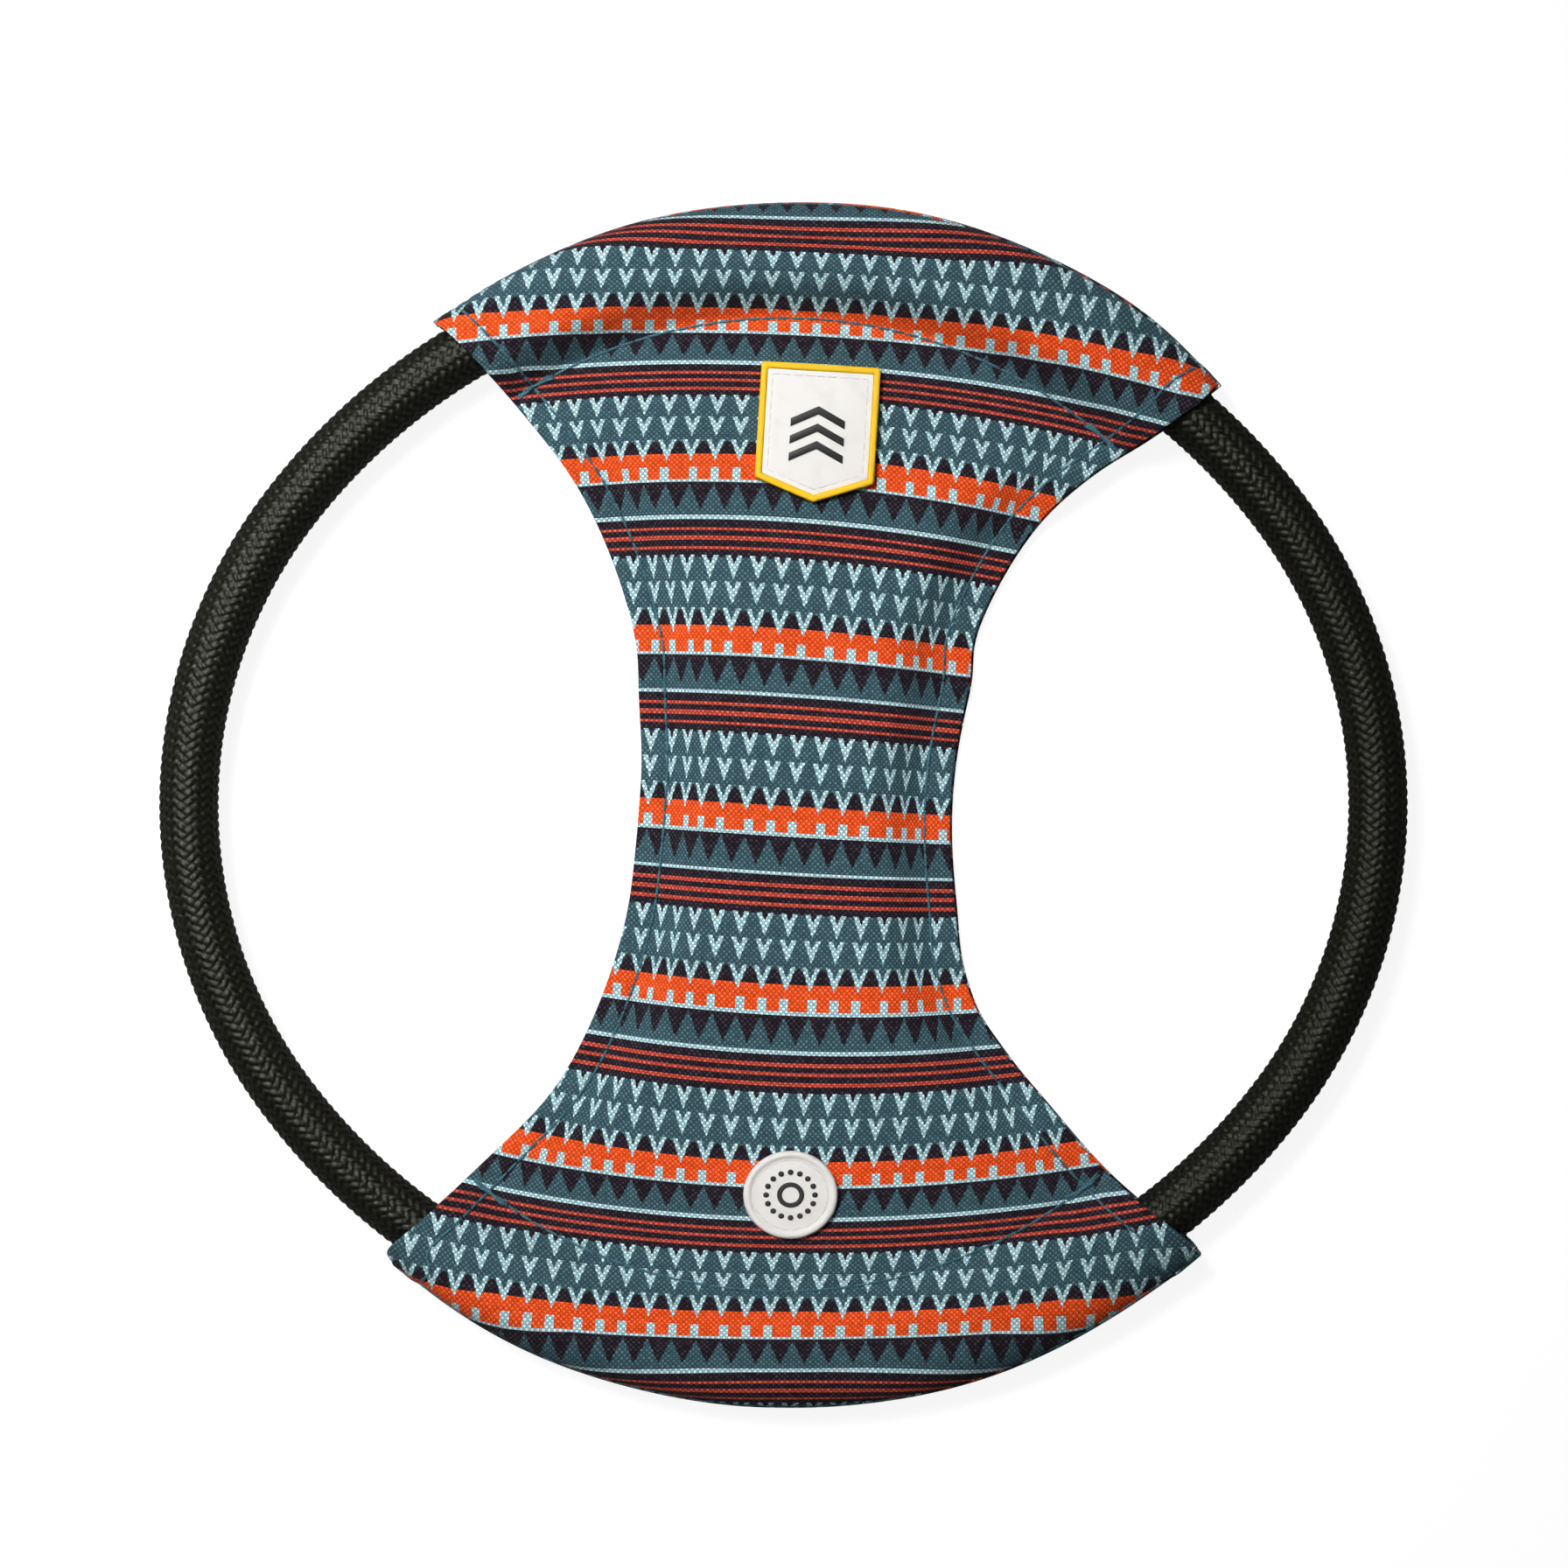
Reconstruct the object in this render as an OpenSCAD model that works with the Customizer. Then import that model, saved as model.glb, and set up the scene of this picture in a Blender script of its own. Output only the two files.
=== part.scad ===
// Soft flying ring: a ring of braided rope with an hourglass cloth panel sewn across it.
// The panel is two layers of cloth, which form a sleeve round the rope at the top and at the bottom.
// The origin is under the middle of the ring, on the surface that it lies on, and +Z is up.

/* [Rope] */
// Width of the ring over the bare rope, from side to side
ring_w = 230; // [190:1:290]
// How much nearer to the middle the rope lies at top and bottom than at the sides
ring_draw = 10; // [5:0.5:14]
// Diameter of the rope
rope_d = 11; // [8:0.5:15]
// Wall of the braided sheath
sheath_t = 1.7; // [0.8:0.1:2.5]
// Length of the wrap over the butted rope ends
wrap_l = 26; // [14:1:40]
// Wall of the wrap
wrap_t = 0.3; // [0.2:0.05:0.6]
// Gap between the butted rope ends
rope_end_gap = 0.4; // [0.2:0.1:1]
// Angle that the rope can work round in its sleeves, to either side
turn_play = 5; // [2:0.5:7]

/* [Cloth panels] */
// Thickness of the cloth
cloth_t = 0.5; // [0.35:0.05:0.8]
// Narrowest width of the hourglass
waist_w = 57; // [40:1:80]
// Distance of the waist to the right of the middle
waist_shift = 2.4; // [-6:0.2:6]
// Half of the angle that each sleeve covers
sleeve_half_angle = 41; // [34:1:44]
// Turn of the upper sleeve round the ring, anticlockwise
upper_sleeve_turn = -5; // [-6:0.5:6]
// Turn of the lower sleeve round the ring, anticlockwise
lower_sleeve_turn = 1; // [-6:0.5:6]
// Radius of the bend in the cloth between the flat panel and a sleeve
throat_r = 3; // [1.5:0.25:5]

/* [Stitching] */
// Width of a row of stitches
thread_w = 0.5; // [0.3:0.05:0.8]
// Height of the channel rows and corner tacks above the cloth
thread_h = 0.25; // [0.15:0.05:0.4]
// Depth to which the edge rows sink into the cloth
thread_sink = 0.2; // [0.1:0.05:0.3]
// Distance from a sleeve's bend to its channel row
channel_inset = 1.2; // [0.8:0.1:3]
// Distance from a side edge to its edge row
edge_inset = 4.8; // [3:0.1:8]
// Length of a corner tack
tack_l = 5; // [3:0.5:8]
// Space between a corner tack and the channel row
tack_space = 0.4; // [0.2:0.1:1]
// Diameter of the thread in the outer seams
seam_thread_d = 0.3; // [0.2:0.05:0.4]

/* [Shield badge] */
// Width
shield_w = 22; // [16:0.5:28]
// Height of the straight sides
shield_side_h = 21.4; // [16:0.2:28]
// Depth of the point below the sides
shield_point_h = 4; // [2:0.2:7]
// Radius of the corners
shield_corner_r = 1.6; // [0.6:0.1:3]
// Distance from the upper channel row to the top edge
shield_drop = 8.2; // [4:0.2:16]
// Distance to the right of the middle
shield_x = 6.2; // [-10:0.2:10]
// Tilt, clockwise
shield_tilt = 3.5; // [-10:0.5:10]
// Width of the raised border
shield_border_w = 1.2; // [0.8:0.1:2]
// Thickness of the white field
field_t = 0.5; // [0.3:0.1:1]
// Width of an emblem chevron
chevron_w = 10; // [6:0.5:12]
// Thickness of an emblem chevron
chevron_t = 1.5; // [0.8:0.1:2]
// Space between emblem chevrons
chevron_space = 1.7; // [1:0.1:2.5]

/* [Round badge] */
// Diameter
round_d = 17.4; // [14:0.2:24]
// Distance from the lower channel row to the bottom edge
round_rise = 9.1; // [4:0.2:20]
// Distance to the right of the middle
round_x = 1.3; // [-10:0.1:10]
// Width of the raised rim
round_rim_w = 1.1; // [0.6:0.1:2]
// Diameter of the ring of dots
dot_ring_d = 9; // [7:0.2:10]
// Diameter of one dot
dot_d = 1.1; // [0.6:0.1:1.4]
// Outer diameter of the inner ring
inner_ring_d = 5; // [3:0.2:5.4]
// Width of the inner ring
inner_ring_w = 0.9; // [0.4:0.1:1.2]

/* [Both badges] */
// Thickness of a badge inside its raised edge
badge_floor_t = 0.9; // [0.6:0.1:1.5]
// Height of the raised edge above that
badge_edge_h = 0.8; // [0.6:0.1:1.5]
// Height of the emblems
emblem_h = 0.3; // [0.2:0.1:0.6]
// Distance from the raised edge to the thread that sews a badge on
badge_thread_inset = 0.7; // [0.4:0.1:1.5]

/* [Clearances] */
// Space round the wrapped rope inside a sleeve
rope_play = 0.35; // [0.3:0.05:1]
// Space between pieces that are laid or wound on each other
lay_gap = 0.05; // [0.02:0.01:0.1]

/* [Hidden] */
$fn = 96;

// The rope's line is an oval of four arcs whose centres make right triangles with sides 3, 4 and 5
rope_r = rope_d / 2;
half_w = ring_w / 2 - rope_r;
half_h = half_w - ring_draw;
side_arc_r = half_h - ring_draw;
side_arc_x = 2 * ring_draw;
cap_arc_r = half_h + 1.5 * ring_draw;
cap_arc_y = 1.5 * ring_draw;

// Distance of the rope's line from the middle, at an angle where it follows a top or bottom arc
function oval_r(angle) =
    sqrt(pow(cap_arc_r, 2) - pow(cap_arc_y * cos(angle), 2)) - cap_arc_y * sin(angle);

// A sleeve's section is a long round-ended channel that clears the rope as it works round
upper_start = 90 + upper_sleeve_turn - sleeve_half_angle;
upper_end = 90 + upper_sleeve_turn + sleeve_half_angle;
lower_start = 270 + lower_sleeve_turn - sleeve_half_angle;
lower_end = 270 + lower_sleeve_turn + sleeve_half_angle;
lowest_mouth = min(upper_start, 180 - upper_end, lower_start - 180, 360 - lower_end);
channel_r = rope_r + lay_gap + wrap_t + rope_play;
channel_in_r = half_h;
channel_out_r = oval_r(lowest_mouth - turn_play);
bend_r = channel_in_r - sqrt(pow(channel_r, 2) + 2 * channel_r * throat_r);
seam_r = channel_out_r + channel_r + cloth_t;
channel_row_r = bend_r - channel_inset;
mid_z = channel_r + cloth_t;
cloth_top = mid_z + cloth_t;

// The cloth's upper half in section, at a distance out from the channel.
// It runs flat from the middle, up the bend, over the rope and down to the outer seam.
bend_slant = atan2(throat_r, channel_in_r - bend_r);
arc_steps = 8;
function arc_points(centre, r, from, to) =
    [for (i = [1 : arc_steps]) centre + polar(r, from + (to - from) * i / arc_steps)];
function cloth_line(d) =
    concat(
        [[0, d], [bend_r, d]],
        arc_points([bend_r, throat_r], throat_r - d, 270, 360 - bend_slant),
        arc_points([channel_in_r, 0], channel_r + d, 180 - bend_slant, 90),
        [[channel_out_r, channel_r + d]],
        arc_points([channel_out_r, 0], channel_r + d, 90, 0)
    );
function backwards(list) = [for (i = [len(list) - 1 : -1 : 0]) list[i]];

function unit(v) = v / norm(v);
function polar(r, angle) = r * [cos(angle), sin(angle)];

// Each side of the hourglass is one arc through two sleeve tips and the waist: [centre, radius]
function scoop(upper_tip, lower_tip, waist_x) =
    let (
        chord = upper_tip - lower_tip,
        middle = (upper_tip + lower_tip) / 2,
        across = unit([chord.y, -chord.x]),
        depth = (waist_x - middle.x) / across.x,
        r = (pow(norm(chord) / 2, 2) + pow(depth, 2)) / (2 * abs(depth))
    )
    [middle + across * (depth - sign(depth) * r), r];

left_scoop = scoop(polar(seam_r, upper_end), polar(seam_r, lower_start), waist_shift - waist_w / 2);
right_scoop = scoop(polar(seam_r, upper_start), polar(seam_r, lower_end), waist_shift + waist_w / 2);

// Half of the angle, seen from the middle, between the places where an edge row crosses a channel row
function crossing_half_angle(side) =
    let (distance = norm(side[0]), row_r = side[1] + edge_inset)
    acos((pow(channel_row_r, 2) + pow(distance, 2) - pow(row_r, 2)) / (2 * channel_row_r * distance));
function bearing(side) = atan2(side[0].y, side[0].x);

// The shield's outline, drawn in by a distance, with its top edge at zero
shield_h = shield_side_h + shield_point_h;
shield_slope = atan2(shield_point_h, shield_w / 2);
function shield_corners(inset) =
    let (
        half = shield_w / 2 - inset,
        tip_y = inset / cos(shield_slope) - shield_h,
        side_y = tip_y + half * tan(shield_slope)
    )
    [[-half, -inset], [half, -inset], [half, side_y], [0, tip_y], [-half, side_y]];

function turned(v, angle) = [v.x * cos(angle) - v.y * sin(angle), v.x * sin(angle) + v.y * cos(angle)];
corner_steps = 6;
function corner_arc(p, before, after, r) =
    let (
        a = unit(before - p),
        b = unit(after - p),
        half = acos(a * b) / 2,
        centre = p + unit(a + b) * r / sin(half),
        first = p + a * r / tan(half) - centre,
        sweep = sign(cross(b, a)) * (2 * half - 180)
    )
    [for (i = [0 : corner_steps]) centre + turned(first, -sweep * i / corner_steps)];
function rounded(points, r) =
    let (n = len(points))
    [for (i = [0 : n - 1]) each corner_arc(points[i], points[(i + n - 1) % n], points[(i + 1) % n], r)];

badge_thread_z = cloth_top + badge_floor_t;
shield_thread_inset = shield_border_w + badge_thread_inset;
round_thread_r = round_d / 2 - round_rim_w - badge_thread_inset;
dot_count = 16;
chevron_rise = chevron_w / 4;
chevron_step = chevron_t + chevron_space;
chevron_count = 3;

// A section swept along an arc about an upright axis
module along_arc(centre, r, from, to) {
    translate([centre.x, centre.y, mid_z])
        rotate(from)
            rotate_extrude(angle = to - from)
                translate([r, 0])
                    children();
}

// One arc of the oval: a whole ring, of which the wedge between two rays from its centre is kept
module oval_arc(centre, r, ray_a, ray_b) {
    far = ring_w / 8;
    translate([centre.x, centre.y, mid_z])
        intersection() {
            rotate_extrude() translate([r, 0]) children();
            translate([0, 0, -rope_d])
                linear_extrude(2 * rope_d)
                    polygon([[0, 0], ray_a * far, ray_b * far]);
        }
}

// A section swept round the whole rope, from one butted end to the other
module along_rope() {
    difference() {
        union() {
            oval_arc([side_arc_x, 0], side_arc_r, [8, -6], [8, 6]) children();
            oval_arc([0, -cap_arc_y], cap_arc_r, [8, 6], [-8, 6]) children();
            oval_arc([-side_arc_x, 0], side_arc_r, [-8, 6], [-8, -6]) children();
            oval_arc([0, cap_arc_y], cap_arc_r, [-8, -6], [8, -6]) children();
        }
        translate([-rope_end_gap / 2, -half_h - rope_d, mid_z - rope_d])
            cube([rope_end_gap, 2 * rope_d, 2 * rope_d]);
    }
}

module ring_2d(r_in, r_out) {
    difference() {
        circle(r_out);
        circle(r_in);
    }
}

// A whole disc of cloth with its raised rim, before the sides are scooped out
module cloth_disc(d_in, d_out) {
    rotate_extrude() polygon(concat(cloth_line(d_out), backwards(cloth_line(d_in))));
}

module scoop_cylinder(side, grow) {
    height = 4 * mid_z;
    translate([side[0].x, side[0].y, -height / 2]) cylinder(h = height, r = side[1] + grow);
}

// The band of cloth under one edge row
module edge_row(side, d_in, d_out, w) {
    intersection() {
        cloth_disc(d_in, d_out);
        difference() {
            scoop_cylinder(side, edge_inset + w / 2);
            scoop_cylinder(side, edge_inset - w / 2);
        }
    }
}

module panel() {
    groove_w = thread_w + 2 * lay_gap;
    difference() {
        cloth_disc(0, cloth_t);
        scoop_cylinder(left_scoop, 0);
        scoop_cylinder(right_scoop, 0);
        edge_row(left_scoop, cloth_t - thread_sink, cloth_t + thread_sink, groove_w);
        edge_row(right_scoop, cloth_t - thread_sink, cloth_t + thread_sink, groove_w);
    }
}

module edge_thread(side) {
    edge_row(side, cloth_t - thread_sink, cloth_t, thread_w);
}

// A raised row of stitches on the flat cloth, along an arc about the middle
module arc_row(r, from, to) {
    rotate(from)
        rotate_extrude(angle = to - from)
            translate([r - thread_w / 2, cloth_t])
                square([thread_w, thread_h]);
}

// The channel row runs from one side edge of the panel to the other
module channel_thread(from, to) {
    difference() {
        arc_row(channel_row_r, from, to);
        scoop_cylinder(left_scoop, 0);
        scoop_cylinder(right_scoop, 0);
    }
}

module tack_pair(from, to) {
    for (step = [-1, 1])
        arc_row(channel_row_r + step * (thread_w + tack_space), min(from, to), max(from, to));
}

// The four tacks on one face, each starting at an edge row and running towards the middle
module tacks_on_face() {
    tack_angle = tack_l / channel_row_r * 180 / PI;
    left = bearing(left_scoop) + 360 * (bearing(left_scoop) < 0 ? 1 : 0);
    left_half = crossing_half_angle(left_scoop);
    right = bearing(right_scoop);
    right_half = crossing_half_angle(right_scoop);
    tack_pair(left - left_half, left - left_half - tack_angle);
    tack_pair(left + left_half, left + left_half + tack_angle);
    tack_pair(right + right_half, right + right_half + tack_angle);
    tack_pair(right - right_half, right - right_half - tack_angle);
}

module front_face() {
    translate([0, 0, mid_z]) children();
}

module back_face() {
    translate([0, 0, mid_z]) mirror([0, 0, 1]) children();
}

// The seam's thread lies just inside the sleeve and stops short of the mouths
module seam_thread(from, to) {
    inset = edge_inset / seam_r * 180 / PI;
    along_arc([0, 0], channel_out_r + channel_r - seam_thread_d / 2 - lay_gap, from + inset, to - inset)
        circle(d = seam_thread_d);
}

module at_shield() {
    translate([shield_x, channel_row_r - shield_drop - shield_h / 2, 0])
        rotate(-shield_tilt)
            translate([0, shield_h / 2, 0])
                children();
}

module shield_2d(inset) {
    polygon(rounded(shield_corners(inset), shield_corner_r));
}

module at_round() {
    translate([round_x, round_rise + round_d / 2 - channel_row_r, 0]) children();
}

module rope_core() {
    color("#4a4d48")
        along_rope() circle(r = rope_r - sheath_t - lay_gap);
}

module rope_sheath() {
    color("#1c211c")
        along_rope() ring_2d(rope_r - sheath_t, rope_r);
}

module rope_joint_wrap() {
    half_angle = wrap_l / 2 / cap_arc_r * 180 / PI;
    color("#101010")
        along_arc([0, cap_arc_y], cap_arc_r, 270 - half_angle, 270 + half_angle)
            ring_2d(rope_r + lay_gap, rope_r + lay_gap + wrap_t);
}

module front_panel() {
    color("#3b5a5f") front_face() panel();
}

module back_panel() {
    color("#38565b") back_face() panel();
}

module upper_seam_thread() {
    color("#3a6470") seam_thread(upper_start, upper_end);
}

module lower_seam_thread() {
    color("#3a6470") seam_thread(lower_start, lower_end);
}

module upper_channel_needle_thread() {
    color("#3f6d78") front_face() channel_thread(upper_start, upper_end);
}

module upper_channel_bobbin_thread() {
    color("#3f6d78") back_face() channel_thread(upper_start, upper_end);
}

module lower_channel_needle_thread() {
    color("#3f6d78") front_face() channel_thread(lower_start, lower_end);
}

module lower_channel_bobbin_thread() {
    color("#3f6d78") back_face() channel_thread(lower_start, lower_end);
}

module left_edge_needle_thread() {
    color("#3f6d78") front_face() edge_thread(left_scoop);
}

module left_edge_bobbin_thread() {
    color("#3f6d78") back_face() edge_thread(left_scoop);
}

module right_edge_needle_thread() {
    color("#3f6d78") front_face() edge_thread(right_scoop);
}

module right_edge_bobbin_thread() {
    color("#3f6d78") back_face() edge_thread(right_scoop);
}

module corner_tacks() {
    color("#3f6d78") {
        front_face() tacks_on_face();
        back_face() tacks_on_face();
    }
}

module shield_base() {
    color("#f5c400")
        at_shield()
            translate([0, 0, cloth_top])
                difference() {
                    linear_extrude(badge_floor_t + badge_edge_h) shield_2d(0);
                    translate([0, 0, badge_floor_t])
                        linear_extrude(badge_edge_h + 1)
                            shield_2d(shield_border_w);
                }
}

module shield_field() {
    color("#fbf8f4")
        at_shield()
            translate([0, 0, badge_thread_z])
                linear_extrude(field_t) shield_2d(shield_border_w + lay_gap);
}

module shield_emblem() {
    stack_h = chevron_rise + chevron_t + (chevron_count - 1) * chevron_step;
    color("#2b2b2d")
        at_shield()
            translate([0, -shield_h / 2 - stack_h / 2 + chevron_t, badge_thread_z + field_t])
                for (i = [0 : chevron_count - 1])
                    translate([0, i * chevron_step, 0])
                        linear_extrude(emblem_h)
                            polygon([
                                [-chevron_w / 2, 0],
                                [0, chevron_rise],
                                [chevron_w / 2, 0],
                                [chevron_w / 2, -chevron_t],
                                [0, chevron_rise - chevron_t],
                                [-chevron_w / 2, -chevron_t]
                            ]);
}

module shield_thread() {
    color("#f4f2ee")
        at_shield()
            translate([0, 0, badge_thread_z + field_t])
                linear_extrude(thread_h)
                    difference() {
                        shield_2d(shield_thread_inset);
                        shield_2d(shield_thread_inset + thread_w);
                    }
}

module round_base() {
    color("#fbf8f4")
        at_round()
            translate([0, 0, cloth_top])
                difference() {
                    cylinder(h = badge_floor_t + badge_edge_h, d = round_d);
                    translate([0, 0, badge_floor_t])
                        cylinder(h = badge_edge_h + 1, r = round_d / 2 - round_rim_w);
                }
}

module round_emblem() {
    color("#2b2b2d")
        at_round()
            translate([0, 0, badge_thread_z]) {
                for (i = [0 : dot_count - 1])
                    rotate(i * 360 / dot_count)
                        translate([dot_ring_d / 2, 0, 0])
                            cylinder(h = emblem_h, d = dot_d);
                linear_extrude(emblem_h) ring_2d(inner_ring_d / 2 - inner_ring_w, inner_ring_d / 2);
            }
}

module round_thread() {
    color("#f4f2ee")
        at_round()
            translate([0, 0, badge_thread_z])
                linear_extrude(thread_h)
                    ring_2d(round_thread_r - thread_w, round_thread_r);
}

rope_core();
rope_sheath();
rope_joint_wrap();
front_panel();
back_panel();
upper_seam_thread();
lower_seam_thread();
upper_channel_needle_thread();
upper_channel_bobbin_thread();
lower_channel_needle_thread();
lower_channel_bobbin_thread();
left_edge_needle_thread();
left_edge_bobbin_thread();
right_edge_needle_thread();
right_edge_bobbin_thread();
corner_tacks();
shield_base();
shield_field();
shield_emblem();
shield_thread();
round_base();
round_emblem();
round_thread();
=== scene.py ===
import bpy
import mathutils
import math
import numpy as np
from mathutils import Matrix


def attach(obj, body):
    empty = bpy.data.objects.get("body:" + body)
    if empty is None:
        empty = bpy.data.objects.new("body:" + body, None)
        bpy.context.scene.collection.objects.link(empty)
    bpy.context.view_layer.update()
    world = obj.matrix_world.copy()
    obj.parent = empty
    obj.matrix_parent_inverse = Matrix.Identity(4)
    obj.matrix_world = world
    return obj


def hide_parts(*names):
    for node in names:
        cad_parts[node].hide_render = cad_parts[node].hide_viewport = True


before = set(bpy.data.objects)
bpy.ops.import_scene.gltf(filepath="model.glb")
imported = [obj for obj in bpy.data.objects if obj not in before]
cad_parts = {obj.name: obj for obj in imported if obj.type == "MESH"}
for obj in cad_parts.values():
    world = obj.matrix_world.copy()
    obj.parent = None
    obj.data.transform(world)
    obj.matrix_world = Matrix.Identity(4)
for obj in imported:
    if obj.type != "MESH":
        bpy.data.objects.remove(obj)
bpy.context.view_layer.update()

# Camera
# It looks straight down at the ring, which lies flat. A long lens keeps the outline as it is in plan,
# and +Y is up in the picture.
view_w = 0.2888
view_height = 1.4
view_middle = mathutils.Vector((0.0001, 0.0038, 0.0067))
sensor_w = 36


def add_object(name, data):
    made = bpy.data.objects.new(name, data)
    bpy.context.scene.collection.objects.link(made)
    return made


camera_data = bpy.data.cameras.new("camera")
camera_data.sensor_width = sensor_w
camera_data.lens = sensor_w * view_height / view_w
camera = add_object("camera", camera_data)
camera.location = view_middle + mathutils.Vector((0, 0, view_height))
bpy.context.scene.camera = camera

# Braided rope
# A tight tube of twenty yarns laid each way, over two and under two, round a core of loose fibre.
# The yarn is an olive so dark that it looks black, and a little shiny. Its colour carries a painted highlight
# on the crown of each yarn and painted shade at the yarn's edges.
rope_r = 5.5
mid_z = 6.7
side_arc_r = 89.5
side_arc_x = 20.0
cap_arc_r = 114.5
cap_arc_y = 15.0
join_angle = math.atan2(3, 4)
quarter_l = side_arc_r * join_angle + cap_arc_r * (math.pi / 2 - join_angle)
yarns_each_way = 20
yarn_steps = 4
braid_lay = 34.6
braid_relief = 0.74
yarn_crown = 0.5
yarn_weave = 0.36
yarn_narrow = 1.9
yarn_map_gap = 57.3
braid_reach = 113.0
rope_end_gap = 0.4


def rope_line(along):
    # The right half of the rope's line, from its rightmost point: x, y and the direction outwards
    upper = np.sign(along)
    along = np.abs(along)
    on_side = along < side_arc_r * join_angle
    turn = np.where(on_side, along / side_arc_r, join_angle + (along - side_arc_r * join_angle) / cap_arc_r)
    r = np.where(on_side, side_arc_r, cap_arc_r)
    x = np.where(on_side, side_arc_x, 0) + r * np.cos(turn)
    y = np.where(on_side, 0, -cap_arc_y) + r * np.sin(turn)
    return x, upper * y, np.cos(turn), upper * np.sin(turn)


def rope_skin(along, around, r):
    x, y, out_x, out_y = rope_line(along)
    out = r * np.cos(around)
    return np.stack([x + out_x * out, y + out_y * out, mid_z + r * np.sin(around)], axis=-1)


def yarn_tops(p, q):
    # Height of the upper yarn where yarn lines p and q cross, and which of the two it is
    i = np.round(p)
    j = np.round(q)
    crown_p = yarn_crown * np.sqrt(1 - (yarn_narrow * (p - i)) ** 2)
    crown_q = yarn_crown * np.sqrt(1 - (yarn_narrow * (q - j)) ** 2)
    rise_p = crown_p + yarn_weave * np.cos(math.pi / 2 * (q + i - 0.5))
    rise_q = crown_q + yarn_weave * np.cos(math.pi / 2 * (p + j - 2.5))
    return np.maximum(rise_p, rise_q), rise_p > rise_q


def make_mesh(name, points_mm, faces, loop_maps):
    mesh = bpy.data.meshes.new(name)
    mesh.vertices.add(len(points_mm))
    mesh.vertices.foreach_set("co", (np.asarray(points_mm, dtype=np.float64) / 1000).ravel())
    faces = np.asarray(faces, dtype=np.int32)
    mesh.loops.add(faces.size)
    mesh.loops.foreach_set("vertex_index", faces.ravel())
    mesh.polygons.add(len(faces))
    mesh.polygons.foreach_set("loop_start", np.arange(0, faces.size, 4, dtype=np.int32))
    mesh.polygons.foreach_set("use_smooth", np.ones(len(faces), dtype=bool))
    mesh.update(calc_edges=True)
    for map_name, values in loop_maps.items():
        layer = mesh.uv_layers.new(name=map_name)
        layer.data.foreach_set("uv", np.asarray(values, dtype=np.float32).ravel())
    mesh.validate()
    return mesh


def place(name, mesh, material, body, nodes):
    piece = add_object(name, mesh)
    mesh.materials.append(material)
    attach(piece, body)
    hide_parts(*nodes)
    return piece


def braid_half():
    # One side of the rope's skin, as a net of squares that stand on their corners
    ring = 2 * yarns_each_way * yarn_steps
    half = ring // 2
    step = braid_lay / ring
    rows = int(braid_reach / step)
    t = np.arange(-rows, rows + 1)
    s = 2 * np.arange(half)[None, :] + (t[:, None] % 2)
    tt = np.broadcast_to(t[:, None], s.shape)
    p = (s - tt) / 2 / yarn_steps
    q = (s + tt) / 2 / yarn_steps
    top, _ = yarn_tops(p, q)
    r = rope_r - braid_relief * (yarn_crown + yarn_weave - top)
    points = rope_skin(tt * step, 2 * math.pi * s / ring, r).reshape(-1, 3)

    row, col = np.meshgrid(np.arange(1, len(t) - 1), np.arange(half), indexing="ij")
    odd = np.abs(t[row]) % 2
    left = row * half + col
    right = row * half + (col + 1) % half
    above = (row + 1) * half + (col + odd) % half
    below = (row - 1) * half + (col + odd) % half
    faces = np.stack([left, below, right, above], axis=-1).reshape(-1, 4)

    s_left = (2 * col + odd).ravel()
    t_mid = t[row].ravel()
    s_loop = np.stack([s_left, s_left + 1, s_left + 2, s_left + 1], axis=-1)
    t_loop = np.stack([t_mid, t_mid - 1, t_mid, t_mid + 1], axis=-1)
    p_loop = (s_loop - t_loop) / 2 / yarn_steps
    q_loop = (s_loop + t_loop) / 2 / yarn_steps
    p_mid = p_loop.mean(axis=1)
    q_mid = q_loop.mean(axis=1)
    _, is_p = yarn_tops(p_mid, q_mid)
    yarn_w = 2 * math.pi * rope_r / yarns_each_way / math.sqrt(2)
    across = np.where(is_p[:, None], p_loop - np.round(p_mid)[:, None], q_loop - np.round(q_mid)[:, None])
    run = np.where(is_p[:, None], q_loop, p_loop) * yarn_w
    index = np.where(is_p, np.round(p_mid), 2 * yarns_each_way + np.round(q_mid)) % (4 * yarns_each_way)
    yarn_map = np.stack([across * yarn_w, run + yarn_map_gap * index[:, None]], axis=-1)
    bake_map = np.stack([s_loop / (ring + 2), (t_loop + rows) / (2 * rows)], axis=-1)
    return points, faces, yarn_map, bake_map


def ring_walls(first_point, n_rings, n_points):
    # Faces between closed rings of points that are numbered one after another
    row, col = np.meshgrid(np.arange(n_rings - 1), np.arange(n_points), indexing="ij")
    first = first_point + row * n_points + col
    second = first_point + row * n_points + (col + 1) % n_points
    return np.stack([first, second, second + n_points, first + n_points], axis=-1).reshape(-1, 4)


def sleeved_tube(start, end):
    # The rope inside a sleeve, where its braid can't be seen
    sides = 40
    rings = 34
    sunk = 0.25
    along = np.linspace(start, end, rings)
    around = np.arange(sides) * 2 * math.pi / sides
    along_grid, around_grid = np.meshgrid(along, around, indexing="ij")
    points = rope_skin(along_grid, around_grid, rope_r - sunk).reshape(-1, 3)
    faces = ring_walls(0, rings, sides)
    return points, faces if end > start else faces[:, ::-1]


def srgb(code):
    levels = [int(code[i : i + 2], 16) / 255 for i in (1, 3, 5)]
    return tuple(c / 12.92 if c <= 0.04045 else ((c + 0.055) / 1.055) ** 2.4 for c in levels) + (1.0,)


def node(tree, kind, inputs, **settings):
    made = tree.nodes.new("ShaderNode" + kind)
    for key, value in settings.items():
        setattr(made, key, value)
    for key, value in inputs.items():
        if isinstance(value, bpy.types.NodeSocket):
            tree.links.new(value, made.inputs[key])
        else:
            made.inputs[key].default_value = value
    return made


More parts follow.
